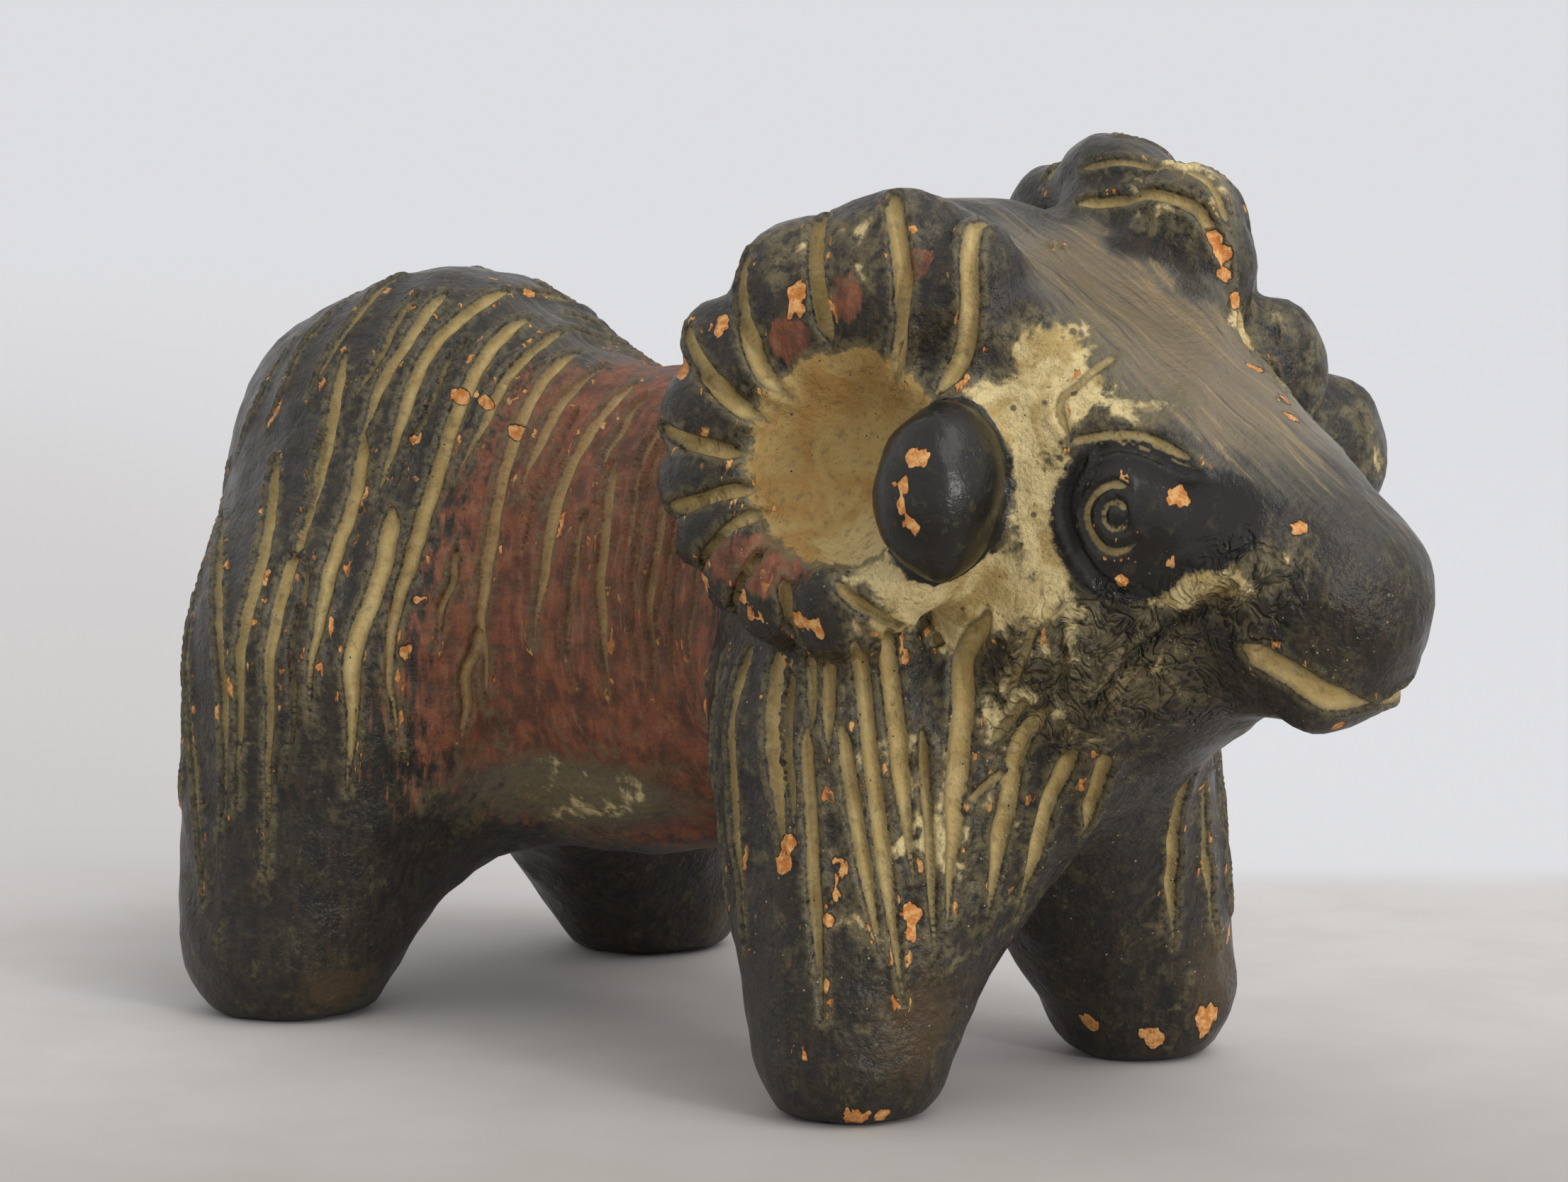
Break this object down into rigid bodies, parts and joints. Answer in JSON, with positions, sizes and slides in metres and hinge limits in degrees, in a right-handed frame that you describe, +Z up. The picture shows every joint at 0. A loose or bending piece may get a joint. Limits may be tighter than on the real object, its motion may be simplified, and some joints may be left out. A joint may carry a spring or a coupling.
{
  "type": "ram figurine",
  "caption": "Small moulded ceramic ram standing on stub legs, with rolled ribbed horns, incised fleece and a worn dark slip.",
  "frame": {"origin": "middle of the bounding box's underside, on the surface that the four feet stand on", "axes": "+X from the tail to the nose, +Y towards the ram's left side, +Z up"},
  "size_m": [0.1253, 0.0584, 0.0732],
  "materials": {
    "slipped_clay": "worn semi-gloss dark slip over orange terracotta, with pale clay in the incised strokes and a red-brown band round the waist"
  },
  "bodies": {
    "root": {"ram_figurine": "slipped_clay"}
  },
  "joints": []
}
